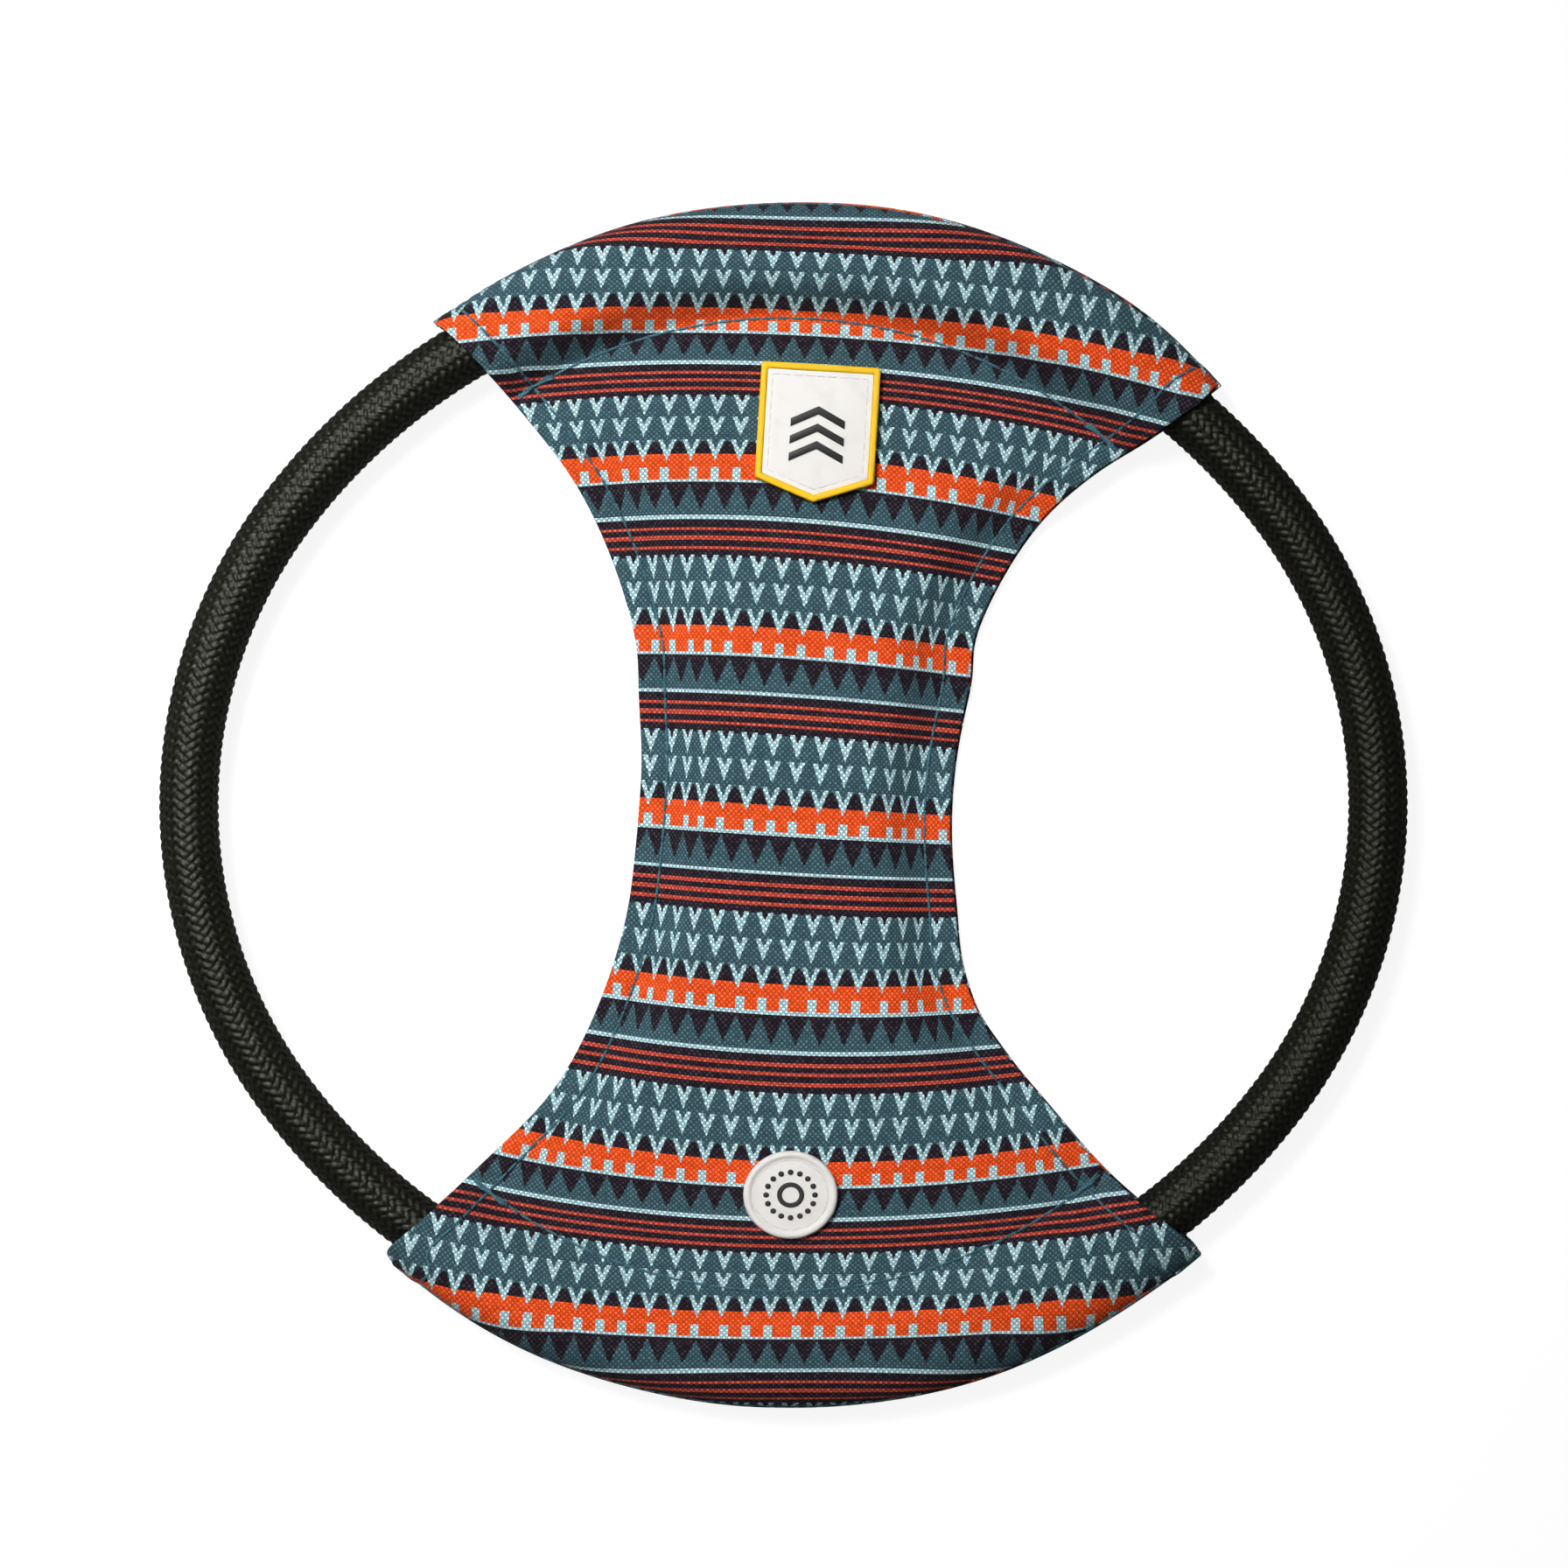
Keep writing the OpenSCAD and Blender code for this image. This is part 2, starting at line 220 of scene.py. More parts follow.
def calc(tree, operation, a, b=0.0, c=0.0):
    return node(tree, "Math", {0: a, 1: b, 2: c}, operation=operation).outputs[0]


def mix_colour(tree, factor, a, b, blend_type="MIX"):
    return node(tree, "Mix", {0: factor, 6: a, 7: b}, data_type="RGBA", blend_type=blend_type).outputs[2]


def rescale(tree, value, low, high):
    return node(tree, "MapRange", {0: value, 3: low, 4: high}).outputs[0]


def in_place(tree):
    return node(tree, "TexCoord", {}).outputs["Object"]


def on_map(tree, map_name):
    place_on_map = node(tree, "UVMap", {}, uv_map=map_name).outputs[0]
    return node(tree, "SeparateXYZ", {0: place_on_map}).outputs


def noise(tree, where, scale, detail):
    return node(tree, "TexNoise", {"Vector": where, "Scale": scale, "Detail": detail}).outputs[0]


def new_material(name, roughness, sheen=0.0, specular=0.5):
    material = bpy.data.materials.new(name)
    material.use_nodes = True
    shader = material.node_tree.nodes["Principled BSDF"]
    shader.inputs["Roughness"].default_value = roughness
    shader.inputs["Sheen Weight"].default_value = sheen
    shader.inputs["Specular IOR Level"].default_value = specular
    return material, material.node_tree, shader


def feed(fed, key, value):
    fed.id_data.links.new(value, fed.inputs[key])


def add_bump(tree, shader, height, depth_mm, strength):
    bump = node(tree, "Bump", {"Strength": strength, "Distance": depth_mm / 1000, "Height": height})
    feed(shader, "Normal", bump.outputs[0])


braid_material, tree, shader = new_material("dark_braid", 0.4, sheen=0.04, specular=0.42)
yarn = on_map(tree, "yarn")
yarn_line = node(tree, "CombineXYZ", {
    0: calc(tree, "MULTIPLY", yarn[0], 9.0),
    1: calc(tree, "MULTIPLY", yarn[1], 0.5),
})
fibres = noise(tree, yarn_line.outputs[0], 1.0, 3.0)
dust = noise(tree, in_place(tree), 160.0, 4.0)
# Painted highlight on the crown of each yarn and painted shade towards its edges, in the base colour
edge = calc(tree, "ABSOLUTE", yarn[0])
crown = node(tree, "MapRange", {0: edge, 1: 0.62, 2: 0.1}).outputs[0]
painted_crown_light = calc(tree, "MULTIPLY", calc(tree, "POWER", crown, 1.6), fibres)
yarn_colour = mix_colour(tree, painted_crown_light, srgb("#030302"), srgb("#23251e"))
worn = rescale(tree, dust, -0.25, 0.25)
yarn_colour = mix_colour(tree, worn, yarn_colour, srgb("#1c1915"))
feed(shader, "Base Color", yarn_colour)
shader.inputs["Sheen Tint"].default_value = srgb("#a98d78")
shader.inputs["Specular Tint"].default_value = srgb("#ebecda")
feed(shader, "Roughness", rescale(tree, fibres, 0.6, 0.22))
add_bump(tree, shader, fibres, 0.12, 0.6)

half_points, half_faces, half_yarn, half_bake = braid_half()
tube_overlap = 2.0
for side_name, side_sign in (("right", 1), ("left", -1)):
    upper_points, upper_faces = sleeved_tube(braid_reach - tube_overlap, quarter_l)
    lower_points, lower_faces = sleeved_tube(tube_overlap - braid_reach, rope_end_gap / 2 - quarter_l)
    count = len(half_points)
    points = np.concatenate([half_points, upper_points, lower_points])
    faces = np.concatenate([half_faces, upper_faces + count, lower_faces + count + len(upper_points)])
    plain_map = np.zeros((len(upper_faces) + len(lower_faces), 4, 2))
    yarn_map = np.concatenate([half_yarn, plain_map])
    bake_map = np.concatenate([half_bake, plain_map])
    if side_sign < 0:
        points = points * np.array([-1, -1, 1])
    braid = make_mesh(side_name + "_braid", points, faces, {"yarn": yarn_map, "OFBake": bake_map})
    place(side_name + "_braid", braid, braid_material, "rope", ["rope_sheath"])

# Rope core and joint
# A bundle of loose polyester fibre fills the braid, and a shrunk plastic tube holds its butted ends.
# Both are out of sight inside the sleeves.
for node_name, finish_name, roughness, grain_scale, grain_detail, dark, light, depth, strength in (
    ("rope_core", "core_fibre", 0.9, 900.0, 3.0, "#3a3d38", "#6a6d66", 0.3, 0.5),
    ("rope_joint_wrap", "shrunk_tube", 0.4, 350.0, 2.0, "#0c0c0c", "#1c1c1c", 0.1, 0.4),
):
    finish, tree, shader = new_material(finish_name, roughness)
    grain = noise(tree, in_place(tree), grain_scale, grain_detail)
    feed(shader, "Base Color", mix_colour(tree, grain, srgb(dark), srgb(light)))
    add_bump(tree, shader, grain, depth, strength)
    held_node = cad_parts[node_name]
    held_node.data.materials.clear()
    held_node.data.materials.append(finish)

# Printed cloth panels
# Two hourglass layers of plain-woven polyester with a printed folk stripe. At the top and bottom they
# part to pass round the rope and meet in a turned seam; at the sides each is folded under and hemmed.
cloth_t = 0.5
channel_in_r = 99.5
channel_out_r = 104.465
channel_r = 6.2
channel_row_r = 89.603
edge_inset = 4.8
stitch_pitch = 2.7
left_scoop = (np.array([-137.847, 4.814]), 111.815)
right_scoop = (np.array([123.046, -4.297]), 92.202)
seam_lift = math.radians(22)
back_turn_share = 0.9
drop_r = channel_r + cloth_t
climb_angle = math.radians(45)
bend_turn_r = 2.0
climb_h = drop_r * math.cos(climb_angle) - cloth_t - bend_turn_r * (1 - math.cos(climb_angle))
climb_w = (drop_r + bend_turn_r) * math.sin(climb_angle) + climb_h / math.tan(climb_angle)
bend_r = channel_in_r - climb_w
cloth_lowest = 0.06
hem_h = 0.3
flat_dimple_h = 0.34
sleeve_dimple_h = 0.2
row_dimple_h = 0.3
edge_ripple_h = 0.09
row_fold_h = 0.085
slack_h = 0.32
sleeve_lean_h = 0.09
seam_pull = 2.5
mouth_hold = 1.5
mouth_hold_at = 42
mouth_hold_span = 8
waist_fall_left = 2.2
waist_fall_right = 5.0
back_hem_more = 0.35
back_print_x = 23
back_print_across = 0.3
back_print_down = 0.08


def arc_line(centre, r, start, end, count):
    turn = np.radians(np.linspace(start, end, count))
    return np.stack([centre[0] + r * np.cos(turn), centre[1] + r * np.sin(turn)], axis=-1)


# The cloth's outer face in section: off the flat at a bend, up to the rope, over it and past the seam
climb_degrees = math.degrees(climb_angle)
section_corners = np.concatenate([
    arc_line((bend_r, cloth_t + bend_turn_r), bend_turn_r, -90, climb_degrees - 90, 20),
    arc_line((channel_in_r, 0), drop_r, 90 + climb_degrees, 90, 30),
    arc_line((channel_out_r, 0), drop_r, 90, -40, 60),
])
section_steps = np.linalg.norm(np.diff(section_corners, axis=0), axis=1)
section_reach = np.concatenate([[0], np.cumsum(section_steps)])
fine_reach = np.linspace(0, section_reach[-1], 1200)
fine_r = np.interp(fine_reach, section_reach, section_corners[:, 0])
fine_h = np.interp(fine_reach, section_reach, section_corners[:, 1])
fine_out = -np.gradient(fine_h, fine_reach)
fine_up = np.gradient(fine_r, fine_reach)
outermost = int(np.argmax(fine_r))
reach_at_equator = float(fine_reach[outermost])
reach_past_top = reach_at_equator - drop_r * math.pi / 2


def hump(off, width):
    return np.exp(-((off / width) ** 2))


def seam_slip(x, y, reach):
    # The outer seam is pulled a little to the right, except at the lower left and the upper right mouth
    past_top = np.clip((reach - reach_past_top) / (reach_at_equator - reach_past_top), 0, 1)
    slip = np.where((y > 0) | (x > 0), seam_pull * x / np.maximum(np.hypot(x, y), 1), 0)
    slip -= mouth_hold * hump(np.degrees(np.arctan2(y, x)) - mouth_hold_at, mouth_hold_span)
    return slip * past_top**2 * (3 - 2 * past_top)


def sleeve_section(reach):
    # At a distance along the cloth from the bend: distance out, height, and which way it faces
    return tuple(np.interp(reach, fine_reach, table) for table in (fine_r, fine_h, fine_out, fine_up))


def ease(value, start, soft):
    return 1 / (1 + np.exp(-(value - start) / soft))


# The side edges are not quite arcs: hemmed in a little above the waist, and straighter at the corners.
# Each wave: how far in, and the heights where it starts and ends, with how softly
left_waves = [(1.8, 24, 3, 66, 4), (-3.9, -83.5, 0.8, -60, 4), (-0.6, -14, 3, 4, 3)]
right_waves = [(2.6, 26.5, 2.2, 58, 3), (1.6, -42, 2, -24, 3)]
right_waves += [(-2.5, -81.5, 0.8, -51, 3), (-1.6, 64, 1.5, 75, 1)]


def edge_r(y, scoop):
    r = scoop[1]
    for inward, start, start_soft, end, end_soft in left_waves if scoop is left_scoop else right_waves:
        r = r + inward * ease(y, start, start_soft) * ease(-y, -end, end_soft)
    return r


def from_edge(x, y, scoop):
    return np.hypot(x - scoop[0][0], y - scoop[0][1]) - edge_r(y, scoop)


def edge_run(x, y, scoop):
    away = np.pi if scoop is right_scoop else 0
    turn = np.arctan2(y - scoop[0][1], x - scoop[0][0]) - away
    return np.remainder(turn + np.pi, 2 * np.pi) * (scoop[1] + edge_inset)


def at_waist(y):
    return ease(y, -64, 7) * ease(-y, -65, 7)


def edge_droop(x, y):
    # Both layers of the slack waist fall towards the stitches that hold their hems, the right side more
    left_fall = waist_fall_left * ease(-from_edge(x, y, left_scoop), -8.5, 1.5)
    right_fall = waist_fall_right * ease(-from_edge(x, y, right_scoop), -8.8, 2.0)
    short_of_sleeves = ease(-np.hypot(x, y), -74, 2.5)
    return -at_waist(y) * short_of_sleeves * (left_fall + right_fall)


def cloth_rise(x, y, reach):
    # How far the cloth stands off its drawn line: hems, stitch dimples, puckers and slack
    r = np.hypot(x, y)
    rise = np.zeros_like(r)
    on_top = np.clip((reach - 4) / 6, 0, 1)
    for scoop in (left_scoop, right_scoop):
        d = from_edge(x, y, scoop)
        hem = 1 / (1 + np.exp((d - edge_inset - 0.3) / 0.35))
        dimple = 0.72 + 0.28 * np.cos(2 * math.pi * edge_run(x, y, scoop) / stitch_pitch)
        dimple_h = flat_dimple_h + on_top * (sleeve_dimple_h - flat_dimple_h)
        rise += hem_h * hem - dimple_h * dimple * hump(d - edge_inset, 0.75)
        ripple = np.sin(edge_run(x, y, scoop) / 2.9 + 1.3) + np.sin(edge_run(x, y, scoop) / 4.7)
        rise += edge_ripple_h * ripple * hump(d - edge_inset, 3.2)
    arc = np.arctan2(y, x) * channel_row_r
    dimple = 0.7 + 0.3 * np.cos(2 * math.pi * arc / stitch_pitch)
    rise -= row_dimple_h * dimple * hump(r - channel_row_r, 0.8)
    folds = np.sin(arc / 1.45 + 0.6) + 0.8 * np.sin(arc / 2.3 - 1.0) + 0.7 * np.sin(arc / 3.7 + 2.2)
    rise += row_fold_h * folds * hump(r - channel_row_r - 2.0, 4.5)
    slack = np.sin(x / 15 + 1.1) * np.cos(y / 19 - 0.4) + 0.5 * np.sin((x + 1.7 * y) / 13)
    rise += slack_h * slack / (1 + np.exp((r - 84) / 3))
    lean = np.sin(arc / 6.1 + 0.4) + np.sin(arc / 9.3 + 1.9)
    return rise + on_top * sleeve_lean_h * (lean - 1)


def cloth_face(x, y, side):
    # Height of the cloth's outer face, front or back, from the middle of the ring's height
    r = np.hypot(x, y)
    reach = np.interp(r, fine_r[: outermost + 1], fine_reach[: outermost + 1])
    reach = np.interp(r - seam_slip(x, y, reach), fine_r[: outermost + 1], fine_reach[: outermost + 1])
    _, h, _, up = sleeve_section(reach)
    off_middle = np.where(r > bend_r, h + cloth_rise(x, y, reach) * up, cloth_t + cloth_rise(x, y, 0 * reach))
    return side * off_middle + edge_droop(x, y)


# The stripe repeats down the cloth every 31.6 mm, and its teeth and points across it every 4.45 mm.
# The cloth lies a little askew, and its rows arch at the top and sag at the bottom.
point_pitch = 4.45
stripe_period = 31.6
column_lean = math.radians(2.8)
sleeve_print_share = 0.8
hem_crowd = 0.95
row_heights = (-92, -65, -34, 0, 31, 63, 90)
row_sags = (-1.4, 0.7, -0.3, 0.0, 0.2, -0.8, 0.8)


def print_place(x, y, reach):
    # Number of points across and of stripes down, at a place on the cloth
    r = np.hypot(x, y)
    past = np.maximum(reach - reach_past_top, 0)
    stretch = np.where(past > 0, (channel_out_r + past * sleeve_print_share) / np.maximum(r, 1), 1)
    x = x * stretch
    y = y * stretch
    u = x / 50
    v = y / 100
    down = 2.994 - 3.008 * v - 0.094 * u - 0.034 * u * v - 0.051 * v**2 + 0.059 * u * v**2
    down += -0.366 * u**2 * v - 0.248 * v**3 + 0.312 * u**2 * v**3
    down -= np.interp(y, row_heights, row_sags) / stripe_period
    across = (x * math.cos(column_lean) - y * math.sin(column_lean)) / point_pitch + 0.533
    # The slack that is taken up at the hems crowds the points together there
    for scoop, crowd in ((right_scoop, hem_crowd), (left_scoop, -hem_crowd)):
        across += crowd * at_waist(y) * ease(-from_edge(x, y, scoop), -8.3, 1.7)
    return across, down


def row_end(row_y, centre_y, row_r, scoop, is_left):
    # Where a row of the cloth, an arc about a point on the middle line, meets a side edge
    gap = scoop[0] - np.array([0, centre_y])
    d = np.hypot(*gap)
    inward = np.array([1 if is_left else -1, 1 if row_y > 0 else -1])
    end = np.array([0, row_y])
    for _ in range(12):
        a = (row_r**2 - edge_r(end[1], scoop) ** 2 + d**2) / (2 * d)
        h = math.sqrt(max(row_r**2 - a**2, 0))
        foot = np.array([0, centre_y]) + gap * a / d
        offset = np.array([-gap[1], gap[0]]) * h / d
        end = max((foot + offset, foot - offset), key=lambda tried: float(tried @ inward))
    return end


def panel_rows(last_reach):
    # Each row: centre and radius of its arc, side of the middle, and distance along the cloth past the bend
    sleeve_steps = np.linspace(0, last_reach, 44)[1:]
    flat_steps = np.linspace(-bend_r, bend_r, 221)
    rows = [(0.0, float(sleeve_section(reach)[0]), -1, float(reach)) for reach in sleeve_steps[::-1]]
    for row_y in flat_steps:
        row_y = row_y if abs(row_y) > 1e-3 else 1e-3
        row_r = bend_r**2 / abs(row_y)
        rows.append((row_y - math.copysign(row_r, row_y), row_r, int(math.copysign(1, row_y)), 0.0))
    rows += [(0.0, float(sleeve_section(reach)[0]), 1, float(reach)) for reach in sleeve_steps]
    return rows


def on_the_floor(points, lowest):
    # Cloth and thread lie flat where they touch the floor
    return np.maximum(points, np.array([-np.inf, -np.inf, lowest]))


def unit(vectors):
    return vectors / np.linalg.norm(vectors, axis=-1, keepdims=True)


def panel_mesh(name, is_front, last_reach):
    columns = 224
    fold_r = 0.24
    fold_l = 3.6
    fold_steps = [(-fold_r * 0.7, -0.07), (-fold_r, -fold_r), (-fold_r * 0.7, 0.07 - 2 * fold_r)]
    fold_steps += [(0.6, -2 * fold_r), (fold_l, -2 * fold_r)]
    seam_turn = 0.7
    rows = panel_rows(last_reach)
    # The back layer was hemmed a little wider on the right, and shows there as a thin line
    right_edge = right_scoop if is_front else (right_scoop[0], right_scoop[1] - back_hem_more)
    points = []
    prints = []
    for centre_y, row_r, side, reach in rows:
        row_y = centre_y + side * row_r
        start = row_end(row_y, centre_y, row_r, left_scoop, True)
        end = row_end(row_y, centre_y, row_r, right_edge, False)
        first = math.atan2(start[0], side * (start[1] - centre_y))
        last = math.atan2(end[0], side * (end[1] - centre_y))
        inset = fold_r / row_r
        turn = np.linspace(first + inset, last - inset, columns)
        x = row_r * np.sin(turn)
        y = centre_y + side * row_r * np.cos(turn)
        _, h, out, up = (float(v) for v in sleeve_section(reach)) if reach > 0 else (0, cloth_t, 0, 1)
        rise = cloth_rise(x, y, reach)
        left_turn = np.array([turn[0] + step / row_r for step, _ in fold_steps])[::-1]
        right_turn = np.array([turn[-1] - step / row_r for step, _ in fold_steps])
        drop = np.array([depth for _, depth in fold_steps])
        turn = np.concatenate([left_turn, turn, right_turn])
        rise = np.concatenate([rise[0] + drop[::-1], rise, rise[-1] + drop])
        x = row_r * np.sin(turn)
        y = centre_y + side * row_r * np.cos(turn)
        away = np.hypot(x, y)
        across, down = print_place(x, y, reach)
        outward = out * rise + seam_slip(x, y, reach)
        points.append(np.stack([x + outward * x / away, y + outward * y / away, h + up * rise], axis=-1))
        prints.append(np.stack([across, down], axis=-1))
    points = np.array(points)
    prints = np.array(prints)
    # The seam allowance turns in at the outer edge
    margins = []
    for at, neighbour in ((0, 1), (-1, -2)):
        edge_row = points[at]
        inward = unit(-edge_row * np.array([1, 1, 0]))
        run = unit(edge_row - points[neighbour])
        margins.append([edge_row + 0.2 * run + 0.12 * inward, edge_row + 0.25 * run + seam_turn * inward])
    points = np.concatenate([margins[0][::-1], points, margins[1]])
    prints = prints[[0, 0, *range(len(prints)), -1, -1]]
    hang = edge_droop(points[..., 0], points[..., 1])
    if not is_front:
        points = points * np.array([1, 1, -1])
        prints = prints * np.array([-1, 1])
        top_middle = np.argmin(np.abs(points[-3, :, 0] - back_print_x))
        prints = prints + np.array([back_print_across, back_print_down - prints[-3, top_middle, 1]])
    points[..., 2] += mid_z + hang
    points = on_the_floor(points, cloth_lowest)

    n_rows, n_cols = points.shape[:2]
    row, col = np.meshgrid(np.arange(n_rows - 1), np.arange(n_cols - 1), indexing="ij")
    corner = row * n_cols + col
    faces = np.stack([corner, corner + 1, corner + n_cols + 1, corner + n_cols], axis=-1).reshape(-1, 4)
    if not is_front:
        faces = faces[:, ::-1]
    grid = np.stack(np.meshgrid(np.linspace(0, 1, n_cols), np.linspace(0, 1, n_rows)), axis=-1)
    cloth_map = prints.reshape(-1, 2)[faces.ravel()]
    bake_map = grid.reshape(-1, 2)[faces.ravel()]
    return make_mesh(name, points.reshape(-1, 3), faces, {"cloth": cloth_map, "OFBake": bake_map})


cloth_material, tree, shader = new_material("printed_cloth", 0.82, sheen=0.04, specular=0.18)
thread_pitch = 0.5


def times(a, b):
    return calc(tree, "MULTIPLY", a, b)


def plus(a, b):
    return calc(tree, "ADD", a, b)


def minus(a, b):
    return calc(tree, "SUBTRACT", a, b)


def apart(a, b):
    return calc(tree, "ABSOLUTE", minus(a, b))


def pick(factor, a, b):
    return calc(tree, "MULTIPLY_ADD", factor, minus(b, a), a)


spot = on_map(tree, "cloth")
warp_at = times(spot[0], point_pitch / thread_pitch)
weft_at = times(spot[1], stripe_period / thread_pitch)
warp_i = calc(tree, "FLOOR", warp_at)
weft_i = calc(tree, "FLOOR", weft_at)
warp_f = minus(minus(warp_at, warp_i), 0.5)
weft_f = minus(minus(weft_at, weft_i), 0.5)
weft_over = calc(tree, "FLOORED_MODULO", plus(warp_i, weft_i), 2.0)

across_thread = pick(weft_over, warp_f, weft_f)
along_thread = pick(weft_over, weft_f, warp_f)
thread_round = calc(tree, "MULTIPLY_ADD", times(across_thread, across_thread), -2.6, 1.0)
thread_dip = calc(tree, "MULTIPLY_ADD", times(along_thread, along_thread), -1.5, 1.0)
thread_crown = times(thread_round, thread_dip)
cell = node(tree, "CombineXYZ", {0: warp_i, 1: weft_i})
cell_tone = node(tree, "TexWhiteNoise", {"Vector": cell.outputs[0]}).outputs[0]

# The ink steps with the threads that it is printed on
step_share = 0.35
ink_u = pick(step_share, warp_at, plus(warp_i, 0.5))
ink_v = pick(step_share, weft_at, plus(weft_i, 0.5))
ink_u = times(ink_u, thread_pitch / point_pitch)
ink_v = times(ink_v, thread_pitch / stripe_period)
down_stripe = calc(tree, "FRACT", ink_v)
point_off = apart(ink_u, calc(tree, "ROUND", ink_u))

teal = srgb("#3f5f69")
pale_blue = srgb("#bfe1e8")
aubergine = srgb("#201321")
orange = srgb("#ff5816")
coral = srgb("#cc4f3c")


def more_than(value, limit):
    return calc(tree, "GREATER_THAN", value, limit)


def less_than(value, limit):
    return calc(tree, "LESS_THAN", value, limit)


def within(value, low, high):
    return times(more_than(value, low), less_than(value, high))


def slant(down, start, start_value, end, end_value):
    # A value that changes evenly down the stripe
    rate = (end_value - start_value) / (end - start)
    return calc(tree, "MULTIPLY_ADD", down, rate, start_value - rate * start)


def wedge(down, start, start_half_w, end, end_half_w):
    # A shape about each point whose sides run straight
    return less_than(point_off, slant(down, start, start_half_w, end, end_half_w))


bands = node(tree, "ValToRGB", {0: down_stripe})
ramp = bands.color_ramp
ramp.interpolation = "CONSTANT"
band_starts = [
    (0.152, pale_blue),
    (0.168, aubergine),
    (0.365, pale_blue),
    (0.387, aubergine),
    (0.434, coral),
    (0.454, aubergine),
    (0.488, coral),
    (0.508, aubergine),
    (0.543, coral),
    (0.563, aubergine),
    (0.606, teal),
]
ramp.elements[0].color = orange
ramp.elements.remove(ramp.elements[1])
for start, colour in band_starts:
    ramp.elements.new(start).color = colour
ink = bands.outputs[0]

# Teeth below the orange band, as many as the points but unevenly set, over three points at a time
tooth_half_w = 0.18
tooth_places = (0.93, 2.12, 0.03, 3.03)
third = calc(tree, "FLOORED_MODULO", ink_u, 3.0)
tooth_off = apart(third, tooth_places[0])
for tooth_at in tooth_places[1:]:
    tooth_off = calc(tree, "MINIMUM", tooth_off, apart(third, tooth_at))
teeth = times(within(down_stripe, 0.083, 0.16), less_than(tooth_off, tooth_half_w))
ink = mix_colour(tree, teeth, ink, pale_blue)

# Teal peaks between hanging dark triangles
peaks = times(within(down_stripe, 0.172, 0.365), wedge(down_stripe, 0.182, 0.0, 0.336, 0.5))
ink = mix_colour(tree, peaks, ink, teal)

# Two rows of broad V shapes, the upper ones with dark notches
v_half_w = 0.35
notch_half_w = 0.15
notch_h = 0.05
v_tops = (0.602, 0.75)
v_tips = (0.737, 0.88)
for top, tip in zip(v_tops, v_tips):
    outer = wedge(down_stripe, top, v_half_w, tip, 0.0)
    inner = wedge(down_stripe, top, notch_half_w, top + notch_h, 0.0)
    v_shape = times(within(down_stripe, top, tip), minus(outer, inner))
    ink = mix_colour(tree, v_shape, ink, pale_blue)
notches = wedge(down_stripe, v_tops[0], notch_half_w, v_tops[0] + notch_h, 0.0)
notches = times(within(down_stripe, 0.6, 0.65), notches)
ink = mix_colour(tree, notches, ink, aubergine)

# Dark domes, and a row of thin V shapes over them that runs on into the next stripe
dome_top = 0.912
dome_half_w = calc(tree, "MAXIMUM", slant(down_stripe, dome_top, 0.0, 1.0, 0.12), 0.0)
dome_half_w = calc(tree, "POWER", dome_half_w, 0.5)
domes = times(more_than(down_stripe, dome_top), less_than(minus(0.5, point_off), dome_half_w))
ink = mix_colour(tree, domes, ink, aubergine)
thin_top = 0.902
thin_tip = 1.04
row_over = plus(down_stripe, less_than(down_stripe, 0.5))
thin_outer = wedge(row_over, thin_top, 0.37, thin_tip, 0.01)
thin_inner = wedge(row_over, thin_top, 0.19, 0.972, 0.0)
thin_v = calc(tree, "MAXIMUM", minus(thin_outer, thin_inner), 0.0)
ink = mix_colour(tree, times(within(row_over, thin_top, thin_tip), thin_v), ink, pale_blue)

# Painted light on the crowns of the threads and painted shade between them, lighter where the weft lies over,
# and an uneven take of ink
shade = calc(tree, "MULTIPLY_ADD", thread_crown, 1.08, 0.2)
shade = times(shade, calc(tree, "MULTIPLY_ADD", weft_over, 0.72, 0.62))
shade = times(shade, rescale(tree, cell_tone, 0.8, 1.2))
shade = times(shade, rescale(tree, noise(tree, in_place(tree), 70.0, 3.0), 0.9, 1.1))
shade_colour = node(tree, "CombineColor", {0: shade, 1: shade, 2: shade}).outputs[0]
cloth_colour = mix_colour(tree, 1.0, ink, shade_colour, "MULTIPLY")
# Paler grey flecks on the crowns of the threads where the weft lies over
crown_flecks = times(times(weft_over, thread_crown), cell_tone)
cloth_colour = mix_colour(tree, times(crown_flecks, 0.1), cloth_colour, srgb("#aab4b8"))
reverse = node(tree, "NewGeometry", {}).outputs["Backfacing"]
cloth_colour = mix_colour(tree, times(reverse, 0.6), cloth_colour, srgb("#8d9694"))
feed(shader, "Base Color", cloth_colour)
feed(shader, "Roughness", rescale(tree, thread_crown, 0.95, 0.72))
add_bump(tree, shader, thread_crown, 0.16, 0.7)

front_reach = reach_at_equator - drop_r * seam_lift
back_reach = reach_at_equator + drop_r * seam_lift * back_turn_share
front_mesh = panel_mesh("front_cloth", True, front_reach)
back_mesh = panel_mesh("back_cloth", False, back_reach)
front_cloth = place("front_cloth", front_mesh, cloth_material, "cover", ["front_panel"])
back_cloth = place("back_cloth", back_mesh, cloth_material, "cover", ["back_panel"])

# Stitching
# Rows of lockstitch in teal polyester thread. Two close the channels beside the rope, two run along the
# side edges and over the sleeve mouths, and each crossing is tacked with stitches sewn back and forth.
thread_r = 0.25
thread_lowest = 0.02
stitch_l = 2.5
stitch_lift = 0.3
stitch_lowest = 0.2
stitch_sunk = 0.12
stitch_end_share = 0.6
edge_row_share = 0.9
seam_thread_sunk = 0.2
tack_l = 8.2
tack_lift = 0.38
tack_lane_lift = 0.06
tack_overlap = 0.2
tack_lanes = [(-0.55, 0.35, 0.0), (0.5, -0.3, 0.7), (-0.2, 0.6, 1.6), (0.25, -0.55, 2.9)]
sleeve_middles = (("upper", math.pi / 2), ("lower", -math.pi / 2))
thread_sides = ((True, "needle"), (False, "bobbin"))


